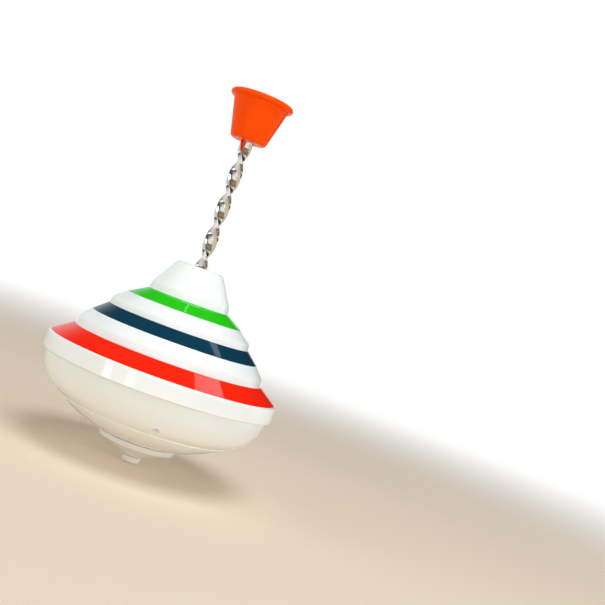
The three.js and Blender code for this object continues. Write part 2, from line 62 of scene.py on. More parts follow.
# %% [markdown]
# ## The camera
#
# The camera comes first, because every choice of detail depends on how large a piece shows.
# It stands a little above the middle of the body and looks almost level along +Y. The top
# is seen leaning, so the camera rolls about its own line of sight instead: the frame stays
# upright and every piece keeps its place.

# %% Camera
CAMERA_PLACE = Vector((0.0471, -0.4392, 0.0879))
CAMERA_PITCH = math.radians(0.52)
CAMERA_ROLL = math.radians(20.18)
CAMERA_LENS = 59.5  # millimetres, on a sensor 36 mm wide
CAMERA_NEAR, CAMERA_FAR = 0.01, 50

camera = bpy.data.objects.new("camera", bpy.data.cameras.new("camera"))
bpy.context.collection.objects.link(camera)
camera.data.lens = CAMERA_LENS
camera.data.clip_start, camera.data.clip_end = CAMERA_NEAR, CAMERA_FAR
camera.matrix_world = (
    Matrix.Translation(CAMERA_PLACE)
    @ Matrix.Rotation(math.pi / 2 + CAMERA_PITCH, 4, "X")
    @ Matrix.Rotation(CAMERA_ROLL, 4, "Z")
)
bpy.context.scene.camera = camera
line_of_sight = camera.matrix_world.to_3x3() @ Vector((0, 0, -1))
print("camera looks along", [round(v, 3) for v in line_of_sight])

# %% [markdown]
# ## Colours and nodes
#
# Colours are written the way that a paint chart gives them, as sRGB hex values, and one
# function turns them to the linear numbers that the shaders work in. One more small function
# adds a shader node: settings are the node's own properties, and inputs are numbers, colours
# or the outputs of other nodes. With it a material reads as a list of what it is made of.

# %% Colour and node helpers
def linear(hex_colour):
    """An sRGB hex colour as the linear RGBA that shaders take."""
    channels = [int(hex_colour[i:i + 2], 16) / 255 for i in (1, 3, 5)]
    return [c / 12.92 if c <= 0.04045 else ((c + 0.055) / 1.055) ** 2.4 for c in channels] + [1]


def add_node(tree, kind, settings=None, inputs=None):
    """Adds a node of that kind. An input's key is its name or its number."""
    node = tree.nodes.new(kind)
    for name, value in (settings or {}).items():
        setattr(node, name, value)
    for key, value in (inputs or {}).items():
        if isinstance(value, bpy.types.NodeSocket):
            tree.links.new(value, node.inputs[key])
        else:
            node.inputs[key].default_value = value
    return node


print("a mid grey is", round(linear("#808080")[0], 3), "in linear light")

# %% [markdown]
# ## Room and light
#
# A glossy toy is mostly reflections, so the room matters as much as the lamps. The room is
# pale all round at eye level and dim higher up, so that the coloured bands, which lean back
# and mirror the ceiling, stay deep. The backdrop itself is plain white. The floor is a warm
# pale table top, with a little light of its own that softens the shadow. It fades into the
# white of the room with distance, so no edge shows.

# %% Room
ROOM_WHITE = linear("#FFFFFF")
WALL_PALE = linear("#EAF4F6")
CEILING_GREY = linear("#4A4C4E")
ROOM_GLOW = 0.84
DIM_FROM, DIM_TO = 0.22, 0.66  # sines of the elevations between which the room dims

world = bpy.data.worlds.new("studio")
bpy.context.scene.world = world
world.use_nodes = True
room = world.node_tree
room.nodes.clear()
look = add_node(room, "ShaderNodeTexCoord")
parts = add_node(room, "ShaderNodeSeparateXYZ", {}, {0: look.outputs["Generated"]})
height = add_node(room, "ShaderNodeMapRange", {"interpolation_type": "SMOOTHSTEP"},
                  {"Value": parts.outputs["Z"], "From Min": DIM_FROM, "From Max": DIM_TO})
shade = add_node(room, "ShaderNodeMix", {"data_type": "RGBA"},
                 {"Factor": height.outputs[0], "A": WALL_PALE, "B": CEILING_GREY})
glow = add_node(room, "ShaderNodeBackground", {},
                {"Color": shade.outputs["Result"], "Strength": ROOM_GLOW})
backdrop = add_node(room, "ShaderNodeBackground", {}, {"Color": ROOM_WHITE, "Strength": 1.0})
seen = add_node(room, "ShaderNodeLightPath").outputs["Is Camera Ray"]
sky = add_node(room, "ShaderNodeMixShader", {},
               {0: seen, 1: glow.outputs[0], 2: backdrop.outputs[0]})
add_node(room, "ShaderNodeOutputWorld", {}, {"Surface": sky.outputs[0]})
bpy.context.scene.view_settings.view_transform = "Standard"
print("room made, colours shown as", bpy.context.scene.view_settings.view_transform)

# %% Floor
FLOOR_WARM = linear("#DCCAB4")
FLOOR_GLOW = 0.20               # light of its own, which softens the shadow
FLOOR_REACH = 6.0               # metres
FADE_FROM, FADE_TO = 0.25, 0.9  # metres from the tip

floor_mesh = bpy.data.meshes.new("floor")
shape = bmesh.new()
bmesh.ops.create_circle(shape, cap_ends=True, segments=96, radius=FLOOR_REACH)
shape.to_mesh(floor_mesh)
shape.free()
floor = bpy.data.objects.new("floor", floor_mesh)
bpy.context.collection.objects.link(floor)

table_top = bpy.data.materials.new("warm_white_table_top")
table_top.use_nodes = True
tree = table_top.node_tree
tree.nodes.clear()
place = add_node(tree, "ShaderNodeTexCoord")
away = add_node(tree, "ShaderNodeVectorMath", {"operation": "LENGTH"},
                {0: place.outputs["Object"]})
fade = add_node(tree, "ShaderNodeMapRange", {"interpolation_type": "SMOOTHSTEP"},
                {"Value": away.outputs["Value"], "From Min": FADE_FROM, "From Max": FADE_TO})
matte = add_node(tree, "ShaderNodeBsdfDiffuse", {}, {"Color": FLOOR_WARM})
inner_glow = add_node(tree, "ShaderNodeEmission", {},
                      {"Color": FLOOR_WARM, "Strength": FLOOR_GLOW})
near = add_node(tree, "ShaderNodeAddShader", {}, {0: matte.outputs[0], 1: inner_glow.outputs[0]})
far_white = add_node(tree, "ShaderNodeEmission", {}, {"Color": ROOM_WHITE, "Strength": 1.0})
both = add_node(tree, "ShaderNodeMixShader", {},
                {0: fade.outputs[0], 1: near.outputs[0], 2: far_white.outputs[0]})
add_node(tree, "ShaderNodeOutputMaterial", {}, {"Surface": both.outputs[0]})
floor_mesh.materials.append(table_top)
print("floor reaches", FLOOR_REACH, "m")


# %% Lamps
BODY_MIDDLE, FOOT_MIDDLE = (0, 0, 0.06), (0, 0, 0.01)
COOL_WHITE, WARM_WHITE = "#F6FAFF", "#FFF6EA"


def softbox(name, place, size, watts, colour, aim=BODY_MIDDLE):
    """A rectangular lamp that faces the top and is not seen itself."""
    lamp = bpy.data.objects.new(name, bpy.data.lights.new(name, "AREA"))
    bpy.context.collection.objects.link(lamp)
    lamp.data.shape = "RECTANGLE"
    lamp.data.size, lamp.data.size_y = size
    lamp.data.energy = watts
    lamp.data.color = linear(colour)[:3]
    lamp.location = place
    lamp.rotation_euler = (Vector(aim) - Vector(place)).to_track_quat("-Z", "Y").to_euler()
    lamp.visible_camera = False
    return lamp


softbox("key_softbox", (0.14, -0.32, 0.95), (0.6, 0.6), 6.9, COOL_WHITE)
softbox("left_softbox", (-0.8, -0.35, 0.55), (0.5, 0.5), 1.6, COOL_WHITE)
softbox("right_softbox", (0.9, -0.55, 0.30), (0.5, 0.5), 3.0, COOL_WHITE)
fill = softbox("low_softbox", (-0.38, -0.6, 0.02), (0.5, 0.03), 0.45, WARM_WHITE, FOOT_MIDDLE)
fill.visible_glossy = False  # it only fills the shade under the bowl
print(len(bpy.data.lights), "softboxes")

# %% [markdown]
# The finish shows in what it mirrors, so some flat cards stand round the top. They are seen
# only in reflections. The bright ones are windows, which draw streaks on the lacquer and the
# skirt, and the dark and brown ones give the strip its dark lines and its warm shade.

# %% Cards
CARD_AIM = Vector((0, 0, 0.05))


def card(name, azimuth, elevation, size, glow, distance=0.8, colour="#FFFFFF"):
    """A flat card at an azimuth clockwise from +Y. Its size is a share of its distance."""
    away, up = math.radians(azimuth), math.radians(elevation)
    towards = Vector((math.sin(away) * math.cos(up), math.cos(away) * math.cos(up), math.sin(up)))
    place = towards * distance + CARD_AIM
    shape = bmesh.new()
    bmesh.ops.create_grid(shape, x_segments=1, y_segments=1, size=0.5)
    mesh = bpy.data.meshes.new(name)
    shape.to_mesh(mesh)
    shape.free()
    piece = bpy.data.objects.new(name, mesh)
    bpy.context.collection.objects.link(piece)
    piece.scale = (size[0] * distance, size[1] * distance, 1)
    piece.location = place
    piece.rotation_euler = (CARD_AIM - place).to_track_quat("-Z", "Y").to_euler()
    material = bpy.data.materials.new(name)
    material.use_nodes = True
    tree = material.node_tree
    tree.nodes.clear()
    light = add_node(tree, "ShaderNodeEmission", {}, {"Color": linear(colour), "Strength": glow})
    add_node(tree, "ShaderNodeOutputMaterial", {}, {"Surface": light.outputs[0]})
    mesh.materials.append(material)
    piece.visible_camera = piece.visible_diffuse = piece.visible_shadow = False


card("dark_side_flag", 30, 25, (0.75, 1.0), 0.02)
card("window_left", -141, -4.0, (0.13, 0.05), 7.0, 0.4)
card("window_left_small", -163, -3.4, (0.12, 0.03), 7.0, 0.4)
card("window_right", 40, 61, (0.13, 0.26), 2.6)
card("window_right_narrow", 52, 62, (0.04, 0.26), 2.2)
card("oak_door_right", 100, 8, (1.0, 1.5), 0.42, 0.3, "#C9A57C")
card("door_frame_right", 135, 8, (0.26, 1.5), 0.02, 0.28)
card("pale_curtain_front", 172, 14, (0.75, 0.7), 1.1)
card("shelf_left", 236, 8, (0.5, 1.5), 0.3, 0.8, "#B9B6AA")

# %% [markdown]
# ## Materials
#
# Each material starts from what the real one is and how its surface was made. A pattern's
# scale comes from a real size: `per(4)` is the noise scale whose grains are about 4 mm wide.


# %% Material helpers
NOISE_LOW, NOISE_HIGH = 0.3, 0.7  # nearly all of a noise lies between these


def per(millimetres):
    """The texture scale whose grains are this wide, in coordinates of metres."""
    return 1 / (millimetres * MM)


def new_material(name):
    """A material with one Principled shader, and the coordinates of the piece in metres."""
    material = bpy.data.materials.new(name)
    material.use_nodes = True
    tree = material.node_tree
    tree.nodes.clear()
    shader = add_node(tree, "ShaderNodeBsdfPrincipled")
    add_node(tree, "ShaderNodeOutputMaterial", {}, {"Surface": shader.outputs[0]})
    where = add_node(tree, "ShaderNodeTexCoord").outputs["Object"]
    return material, tree, shader, where


def set_inputs(tree, shader, inputs):
    """Sets the shader's own sockets, or links them where the value is a node's output."""
    for key, value in inputs.items():
        if isinstance(value, bpy.types.NodeSocket):
            tree.links.new(value, shader.inputs[key])
        else:
            shader.inputs[key].default_value = value


def mottle(tree, where, colours, grain, detail=2.0):
    """A colour that drifts between two close colours over grains of this many millimetres."""
    noise = add_node(tree, "ShaderNodeTexNoise", {},
                     {"Vector": where, "Scale": per(grain), "Detail": detail})
    return add_node(tree, "ShaderNodeMix", {"data_type": "RGBA"}, {
        "Factor": noise.outputs["Fac"], "A": linear(colours[0]), "B": linear(colours[1]),
    }).outputs["Result"]


def patchy(tree, where, low, high, grain, detail=3.0):
    """A number that drifts between low and high over grains of this many millimetres."""
    noise = add_node(tree, "ShaderNodeTexNoise", {},
                     {"Vector": where, "Scale": per(grain), "Detail": detail})
    return add_node(tree, "ShaderNodeMapRange", {}, {
        "Value": noise.outputs["Fac"], "From Min": NOISE_LOW, "From Max": NOISE_HIGH,
        "To Min": low, "To Max": high,
    }).outputs[0]


def ripple(tree, where, grain, depth, detail=1.0):
    """A bump of grains this many millimetres wide and this many millimetres deep."""
    noise = add_node(tree, "ShaderNodeTexNoise", {},
                     {"Vector": where, "Scale": per(grain), "Detail": detail})
    return add_node(tree, "ShaderNodeBump", {}, {
        "Height": noise.outputs["Fac"], "Strength": 1.0, "Distance": depth * MM,
    }).outputs["Normal"]


print("a 4 mm grain is a texture scale of", per(4))

# %% [markdown]
# ### Glossy ABS
#
# The shells are ABS, moulded in a polished tool. ABS is a little cloudy, so light enters and
# softens the shading, and a large moulding never cools quite flat, which bends its
# reflections very slightly. A coat would look like lacquer, so the gloss is the plastic's own.


# %% Glossy ABS
def glossy_abs(name, light, dark, rough=(0.06, 0.12)):
    """Moulded ABS: soft white, slightly cloudy, with a faint waviness in its gloss."""
    material, tree, shader, where = new_material(name)
    set_inputs(tree, shader, {
        "Base Color": mottle(tree, where, (light, dark), 18),
        "Roughness": patchy(tree, where, *rough, 7),
        "IOR": 1.54,
        "Subsurface Weight": 0.12,
        "Subsurface Radius": (1.0, 0.9, 0.7),
        "Subsurface Scale": 1.2 * MM,
        "Normal": ripple(tree, where, 9, 0.010),
    })
    return material


WHITE_ABS = glossy_abs("glossy_abs_white", "#F5F7F4", "#F0F2EE")
WHITE_NYLON = glossy_abs("polished_nylon_white", "#F2F1EA", "#ECEAE0", (0.22, 0.30))
print("made", WHITE_ABS.name, "and", WHITE_NYLON.name)

# %% [markdown]
# ### Gloss lacquer
#
# The bands are printed and lacquered, so they are glossier than the plastic beside them: a
# thin clear coat over an even colour. The coat gives the sharp streaks of reflected light.


# %% Gloss lacquer
def gloss_lacquer(name, light, dark):
    """Colour under a clear coat: deep, even and mirror-like at a glance."""
    material, tree, shader, where = new_material(name)
    set_inputs(tree, shader, {
        "Base Color": mottle(tree, where, (light, dark), 25),
        "Roughness": patchy(tree, where, 0.22, 0.32, 5),
        "IOR": 1.50,
        "Specular IOR Level": 0.0,
        "Coat Weight": 0.7,
        "Coat Roughness": 0.04,
        "Coat IOR": 1.5,
        "Normal": ripple(tree, where, 12, 0.008),
    })
    return material


GREEN_LACQUER = gloss_lacquer("gloss_lacquer_green", "#2CCB18", "#24BE14")
NAVY_LACQUER = gloss_lacquer("gloss_lacquer_navy", "#0C3C50", "#0A3448")
RED_LACQUER = gloss_lacquer("gloss_lacquer_red", "#FF2A10", "#F8200A")
print("made three lacquers")

# %% [markdown]
# ### Moulded polypropylene
#
# The finger cup is polypropylene: softer than ABS to the eye, because it scatters light and
# its skin is satin. The tool's draw leaves faint lines up the wall.


# %% Polypropylene
DRAW = (1, 1, 0.06)  # draws a pattern out along Z


def moulded_polypropylene(name, light, dark):
    """Satin translucent plastic with faint draw lines along Z."""
    material, tree, shader, where = new_material(name)
    drawn = add_node(tree, "ShaderNodeMapping", {}, {"Vector": where, "Scale": DRAW}).outputs[0]
    set_inputs(tree, shader, {
        "Base Color": mottle(tree, where, (light, dark), 10),
        "Roughness": patchy(tree, drawn, 0.20, 0.30, 1.2),
        "IOR": 1.49,
        "Specular IOR Level": 0.06,
        "Subsurface Weight": 0.1,
        "Subsurface Radius": (1.0, 0.35, 0.12),
        "Subsurface Scale": 1.5 * MM,
        "Normal": ripple(tree, drawn, 1.6, 0.006),
    })
    return material


ORANGE_POLYPROPYLENE = moulded_polypropylene("moulded_polypropylene_orange", "#FF5200", "#FC4A00")
print("made", ORANGE_POLYPROPYLENE.name)

# %% [markdown]
# ### Metals
#
# The strip is bright nickel over steel wire that was rolled flat and twisted: shiny, but with
# a waviness of about a millimetre that breaks up what it mirrors. Screws and washers are
# zinc plated and passivated, which leaves them rougher, a little yellow and a little darker;
# their colour is painted darker still, as painted shade for the shadow deep in the screw wells.
# The switch's brass was turned, which leaves fine rings.


# %% Metals
def plated_metal(name, light, dark, rough, along, grain, depth):
    """Bare metal whose marks are drawn out by the (x, y, z) scale in along."""
    material, tree, shader, where = new_material(name)
    marks = add_node(tree, "ShaderNodeMapping", {}, {"Vector": where, "Scale": along}).outputs[0]
    set_inputs(tree, shader, {
        "Base Color": mottle(tree, where, (light, dark), 3),
        "Metallic": 1.0,
        "Roughness": patchy(tree, marks, *rough, grain),
        "Normal": ripple(tree, marks, grain, depth),
    })
    return material


BRIGHT_NICKEL = plated_metal("bright_nickel_plated_steel", "#E6E3DC", "#D9D5CC",
                             rough=(0.14, 0.24), along=(1, 1, 0.4), grain=1.1, depth=0.02)
# painted shade: the zinc is set darker than plating alone, to stand for the shadow in the screw
# wells
ZINC_PLATE_WITH_WELL_SHADE = plated_metal("zinc_plated_steel_with_painted_well_shade", "#A6A592", "#8E8E7E",
                          rough=(0.25, 0.42), along=(1, 1, 1), grain=0.5, depth=0.004)
CELL_NICKEL = plated_metal("nickel_plated_cell_can", "#DEDBD4", "#CBC8C0",
                           rough=(0.16, 0.28), along=(0.1, 1, 1), grain=0.5, depth=0.003)
ROLLED_BRONZE = plated_metal("rolled_phosphor_bronze", "#CF8A55", "#B87345",
                             rough=(0.22, 0.34), along=(0.1, 0.1, 1), grain=0.4, depth=0.003)
TURNED_BRASS = plated_metal("turned_brass", "#D9B45C", "#C29B45",
                            rough=(0.16, 0.28), along=(0.1, 0.1, 3), grain=0.3, depth=0.003)
print("made five metals")

# %% [markdown]
# ### What is inside
#
# The mechanism is natural acetal, a waxy off-white. The board is glass fibre under green
# solder mask, the chip is a blob of matte epoxy, the lamps are clear tinted epoxy, and the
# holder, the speaker and the switch base are satin black ABS. The leads are soft PVC.


# %% Materials of the inside
def satin_plastic(name, light, dark, rough, grain=2.0, depth=0.01, ior=1.48):
    """Moulded plastic with a fine satin grain."""
    material, tree, shader, where = new_material(name)
    set_inputs(tree, shader, {
        "Base Color": mottle(tree, where, (light, dark), 6),
        "Roughness": patchy(tree, where, *rough, 3),
        "IOR": ior,
        "Normal": ripple(tree, where, grain, depth, 4.0),
    })
    return material


def tinted_epoxy(name, colour):
    """The clear, tinted epoxy that a lamp is cast in."""
    material, tree, shader, where = new_material(name)
    set_inputs(tree, shader, {
        "Base Color": mottle(tree, where, (colour, colour), 4),
        "Roughness": patchy(tree, where, 0.03, 0.08, 2),
        "IOR": 1.53,
        "Transmission Weight": 0.7,
        "Normal": ripple(tree, where, 3, 0.004),
    })
    return material


def solder_mask(name):
    """Green mask over copper tracks: lighter lines where a track runs underneath."""
    material, tree, shader, where = new_material(name)
    tracks = add_node(tree, "ShaderNodeTexBrick", {"offset": 0.5}, {
        "Vector": where, "Scale": 1.0, "Brick Width": 5.2 * MM, "Row Height": 2.6 * MM,
        "Mortar Size": 0.35 * MM, "Color1": linear("#1F5A33"), "Color2": linear("#235F38"),
        "Mortar": linear("#3E8A52"),
    })
    raised = add_node(tree, "ShaderNodeBump", {}, {
        "Height": tracks.outputs["Fac"], "Strength": 1.0, "Distance": 0.03 * MM,
    })
    set_inputs(tree, shader, {
        "Base Color": tracks.outputs["Color"],
        "Roughness": patchy(tree, where, 0.25, 0.4, 4),
        "IOR": 1.5,
        "Normal": raised.outputs["Normal"],
    })
    return material


ACETAL = satin_plastic("natural_acetal", "#ECE7D8", "#E3DDCA", (0.32, 0.45))
BOARD_MASK = solder_mask("fr4_board_with_green_solder_mask")
BLACK_EPOXY = satin_plastic("matte_black_epoxy", "#161616", "#101010", (0.5, 0.65), 0.8, 0.02)
BLACK_ABS = satin_plastic("satin_black_abs", "#2A2A2A", "#222222", (0.38, 0.5), 0.6, 0.01, 1.54)
RED_PVC = satin_plastic("soft_pvc_red", "#C02020", "#B01818", (0.4, 0.55))
BLACK_PVC = satin_plastic("soft_pvc_black", "#202020", "#181818", (0.4, 0.55))
RED_LENS = tinted_epoxy("tinted_epoxy_red", "#FF3030")
GREEN_LENS = tinted_epoxy("tinted_epoxy_green", "#30E040")
BLUE_LENS = tinted_epoxy("tinted_epoxy_blue", "#3060FF")
print("made", len(bpy.data.materials), "materials in all")

# %% [markdown]
# ## Turned shapes
#
# Nearly every piece of a top is round, so one helper turns an outline about the axis. An
# outline is a short list of corners, each with its own fillet radius, and the rounding is
# real geometry: a moulded edge catches light because it is round. Weighted normals keep the
# flat stretches flat beside their fillets.

# %% Turning helpers
ROUND = 240                     # facets round a large shell
SMALL_ROUND = 48                # facets round a screw well
FILLET_STEP = math.radians(12)
SHARP_ANGLE = math.radians(38)  # an edge that bends more than this is drawn sharp


def rounded(corners):
    """Each (radius, height, fillet) corner in millimetres becomes an arc of that fillet."""
    points = []
    for i, (r, z, fillet) in enumerate(corners):
        here = Vector((r, z))
        back = Vector(corners[i - 1][:2]) - here
        ahead = Vector(corners[(i + 1) % len(corners)][:2]) - here
        bend = math.pi - back.angle(ahead)
        if fillet == 0 or bend < 0.01:
            points.append(here)
            continue
        reach = min(fillet * math.tan(bend / 2), 0.48 * back.length, 0.48 * ahead.length)
        radius = reach / math.tan(bend / 2)
        inward = (back.normalized() + ahead.normalized()).normalized()
        middle = here + inward * radius / math.cos(bend / 2)
        first = back.normalized() * reach + here - middle
        last = ahead.normalized() * reach + here - middle
        sweep = first.angle_signed(last)
        steps = max(2, math.ceil(abs(sweep) / FILLET_STEP))
        for k in range(steps + 1):
            turned = first.copy()
            turned.rotate(Matrix.Rotation(-sweep * k / steps, 2))
            points.append(middle + turned)
    return points


def as_object(name, shape):
    """An object in the scene from a bmesh, with its faces pointing out."""
    bmesh.ops.remove_doubles(shape, verts=shape.verts, dist=1e-7)
    bmesh.ops.recalc_face_normals(shape, faces=shape.faces)
    mesh = bpy.data.meshes.new(name)
    shape.to_mesh(mesh)
    shape.free()
    piece = bpy.data.objects.new(name, mesh)
    bpy.context.collection.objects.link(piece)
    return piece


def turned(name, points, facets=ROUND, centre=(0, 0)):
    """Turns a closed outline of (radius, height) points in millimetres about an upright axis."""
    shape = bmesh.new()
    middle = Vector((*centre, 0))
    rings = []
    for k in range(facets):
        angle = 2 * math.pi * k / facets
        across = Vector((math.cos(angle), math.sin(angle), 0))
        places = [middle + across * p[0] + Vector((0, 0, p[1])) for p in points]
        rings.append([shape.verts.new(place * MM) for place in places])
    for k, ring in enumerate(rings):
        following = rings[(k + 1) % facets]
        for i in range(len(points)):
            j = (i + 1) % len(points)
            on_axis = [points[i][0] < 1e-6, points[j][0] < 1e-6]
            if all(on_axis):
                continue
            corners = [ring[i], following[i], following[j], ring[j]]
            if on_axis[0]:
                corners = [ring[i], following[j], ring[j]]
            elif on_axis[1]:
                corners = [ring[i], following[i], ring[j]]
            shape.faces.new(corners)
    return as_object(name, shape)


def block(name, low, high):
    """A box between two corners in millimetres, used as a cutter."""
    shape = bmesh.new()
    bmesh.ops.create_cube(shape, size=1)
    size = Vector(high) - Vector(low)
    for vert in shape.verts:
        share = vert.co + Vector((0.5, 0.5, 0.5))
        vert.co = (Vector(low) + share * size) * MM
    return as_object(name, shape)


def combine(piece, other, operation):
    """Cuts, joins or intersects piece with other, which is used up."""
    change = piece.modifiers.new(operation.lower(), "BOOLEAN")
    change.operation, change.solver, change.object = operation, "MANIFOLD", other
    ready = piece.evaluated_get(bpy.context.evaluated_depsgraph_get())
    result = bpy.data.meshes.new_from_object(ready)
    piece.modifiers.clear()
    piece.data = result
    bpy.data.objects.remove(other)
    return piece


def drawn_height(node, corner):
    """The height of a node's lowest (0) or highest (1) point above the datum, in millimetres."""
    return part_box(node)[corner].z / MM + TIP_POINT


def dress(piece, material, body, slot, *nodes):
    """Lowers a drawn piece to its place, smooths it, gives it its finish and body, and hides the
    CAD nodes that it replaces.
    """
    mesh = piece.data
    mesh.transform(Matrix.Translation((0, 0, -TIP_POINT * MM)))
    mesh.materials.clear()
    mesh.materials.append(material)
    mesh.shade_smooth()
    mesh.set_sharp_from_angle(angle=SHARP_ANGLE)
    piece.modifiers.new("even_normals", "WEIGHTED_NORMAL").keep_sharp = True
    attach(piece, body)
    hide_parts(*nodes)
    print(f"{piece.name}: {len(mesh.polygons)} faces")
    return piece


# %% [markdown]
# ## The dome
#
# The dome is one moulding: a flat-topped cap, then two tiers, each a sloping coloured band, a
# white slope, a rounded ridge and a short riser. The last band runs down to the rim, and the
# skirt below it hides the joint with the bowl. The bands sit in shallow grooves.

# %% Dome outline
CAP_HOLE = 3.3
CAP_TOP = (10.4, drawn_height("upper_shell", 1))
CAP_RIDGE, CAP_FOOT = (17.7, 80.7), (18.2, 77.6)
TIER_2_BEND, TIER_2_RIDGE, TIER_2_FOOT = (25.9, 73.1), (31.6, 68.6), (32.0, 65.8)
TIER_3_BEND, TIER_3_RIDGE, TIER_3_FOOT = (37.7, 60.9), (42.2, 56.1), (42.8, 52.8)
RED_FOOT, RIM_TOP = (51.2, 47.05), (52.0, 46.5)
SKIRT_FOOT = (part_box("upper_shell")[1].x / MM, 39.7)
SKIRT_INSIDE, INSIDE_BEND = 50.7, 44.4  # radius within the skirt, and the height where it ends
WALL = (-1.5, -1.9)     # from the outside of the dome to its inside
GROOVE = 1.1            # depth of a band's groove
BAND_THICK = 0.8
SEAM = 0.06             # what is left open beside a band
RIDGE_FILLET = 1.3

BANDS = {
    "green": (CAP_FOOT, TIER_2_BEND),
    "navy": (TIER_2_FOOT, TIER_3_BEND),
    "red": (TIER_3_FOOT, RED_FOOT),
}


def on_band(band, along, down):
    """The point this far along a band from its top (from its foot if negative) and this far in."""
    top, foot = (Vector(p) for p in BANDS[band])
    slope = (foot - top).normalized()
    inward = Vector((slope.y, -slope.x))
    start = top if along >= 0 else foot
    return start + slope * along + inward * down


def groove(band):
    """The four corners of a band's groove, from its top to its foot."""
    top, foot = BANDS[band]
    under_top = on_band(band, 0, GROOVE)
    under_foot = Vector(foot) + (under_top - Vector(top))
    return [(*top, 0.08), (*under_top, 0), (*under_foot, 0), (*foot, 0.08)]


print("the dome is", round(CAP_TOP[1] - SKIRT_FOOT[1], 1), "mm tall")

# %% Dome
dome_outside = [
    (CAP_HOLE, CAP_TOP[1], 0.3), (*CAP_TOP, 1.6), (*CAP_RIDGE, RIDGE_FILLET), *groove("green"),
    (*TIER_2_RIDGE, RIDGE_FILLET), *groove("navy"), (*TIER_3_RIDGE, RIDGE_FILLET), *groove("red"),
    (*RIM_TOP, 0.7), (*SKIRT_FOOT, 0.35),
]
inner_rings = [
    TIER_3_FOOT, TIER_3_RIDGE, TIER_3_BEND, TIER_2_FOOT, TIER_2_RIDGE, TIER_2_BEND,
    CAP_FOOT, CAP_RIDGE, CAP_TOP,
]
dome_inside = [(SKIRT_INSIDE, SKIRT_FOOT[1], 0.2), (SKIRT_INSIDE, INSIDE_BEND, 0.5)]
dome_inside += [(r + WALL[0], z + WALL[1], 0.8) for r, z in inner_rings]
dome = turned("dome", rounded(dome_outside + dome_inside + [(CAP_HOLE, CAP_TOP[1] + WALL[1], 0)]))
dress(dome, WHITE_ABS, "body", "white_shell", "upper_shell")


# %% Bands
def band_outline(band):
    """A band's section: it fills its groove but for the seam on each side."""
    deep = on_band(band, 0, BAND_THICK) - Vector(BANDS[band][0])
    near, far = on_band(band, SEAM, 0), on_band(band, -SEAM, 0)
    return rounded([(*near, 0.10), (*far, 0.10), (*(far + deep), 0), (*(near + deep), 0)])


for colour, lacquer in (("green", GREEN_LACQUER), ("navy", NAVY_LACQUER), ("red", RED_LACQUER)):
    band = turned(f"{colour}_stripe", band_outline(colour))
    dress(band, lacquer, "body", f"{colour}_gloss", f"{colour}_band")

# %% [markdown]
# ## The bowl
#
# The bowl bulges as a quarter ellipse down to a soft crease, and below the crease its flank
# curves in to the foot. Four screws reach up through wells in it, and a door under the cells
# is cut from the same surface, so door and bowl come from one outline.

# %% Bowl outline
BOWL_TOP = 44.0
BOWL_CENTRE, BOWL_AXES = Vector((30, 39)), (20.3, 17.6)
BOWL_RADIUS = BOWL_CENTRE.x + BOWL_AXES[0]
BOWL_WALL = 1.9
CREASE_RADIUS = 38.3
CREASE_STEP = 0.5       # the small riser under the bulge
FLANK_PULL, FLANK_FOOT = Vector((29.5, 16.5)), Vector((18.9, 13.9))
SEAT_RADIUS, FLOOR_RADIUS = 15.2, 13.2
FLOOR_UNDER, FLOOR_TOP = 11.9, 14.2


def bulge(wall, steps):
    """The quarter ellipse from the widest ring down to the crease."""
    a, b = (axis - wall for axis in BOWL_AXES)
    end = math.acos((CREASE_RADIUS - BOWL_CENTRE.x) / a)
    angles = [end * k / steps for k in range(steps + 1)]
    return [BOWL_CENTRE + Vector((a * math.cos(t), -b * math.sin(t))) for t in angles]


def flank(crease, rise, steps):
    """A quadratic curve from the crease in to the foot."""
    pull, foot = FLANK_PULL + Vector((0, rise)), FLANK_FOOT + Vector((0, rise))
    shares = [k / steps for k in range(1, steps + 1)]
    return [crease * (1 - t) ** 2 + pull * 2 * t * (1 - t) + foot * t * t for t in shares]


def bowl_points():
    """The closed outline of the bowl, outside and then inside."""
    outside, inside = bulge(0, 40), bulge(BOWL_WALL, 16)
    step = outside[-1] + Vector((-0.12, -CREASE_STEP))
    corners = [(BOWL_RADIUS, BOWL_TOP, 0.3), *[(*p, 0) for p in outside[:-1]]]
    corners += [(*outside[-1], 0.25), (*step, 0.3), *[(*p, 0) for p in flank(step, 0, 24)]]
    corners += [(SEAT_RADIUS, FLANK_FOOT.y, 0.2), (SEAT_RADIUS, FLOOR_UNDER, 0)]
    corners += [(0, FLOOR_UNDER, 0)]
    within = [(BOWL_RADIUS - BOWL_WALL, BOWL_TOP, 0.3), *[(*p, 0) for p in inside]]
    within += [(*p, 0) for p in flank(inside[-1], BOWL_WALL, 10)]
    within += [(FLOOR_RADIUS + 0.2, FLANK_FOOT.y + BOWL_WALL, 0.4), (FLOOR_RADIUS, FLOOR_TOP, 0)]
    within += [(0, FLOOR_TOP, 0)]
    return rounded(corners + within[::-1])


print("the bowl's outline has", len(bowl_points()), "points")

# %% Bowl and battery door
SCREW_CIRCLE = 43.3
SCREW_ANGLES = (103.4, 163.4, 283.4, 343.4)
WELL_RADIUS, WELL_TOP = 1.65, 30.2
TUBE_RADIUS, TUBE_TOP = 3.0, 33.0
TUBE_REACH = 0.5        # how far a tube reaches into the wall that it joins
SHANK_HOLE = 1.1
TIP_HOLE, TIP_HOLE_TOP = 2.8, 13.5
DOOR_SCREW = (13.6, 27.8)
DOOR_PAD, DOOR_PAD_TOP = 2.9, 22.2
DOOR_WELL_RADIUS, DOOR_WELL_TOP = 2.3, 20.9
DOOR_SHANK_HOLE = 1.2
DOOR_GAP = 0.3
UNDER_ALL, OVER_DOOR = 5, 30  # heights where the cutters begin and end


def on_circle(radius, degrees):
    """A point on a circle round the spin axis."""
    return (radius * math.cos(math.radians(degrees)), radius * math.sin(math.radians(degrees)))


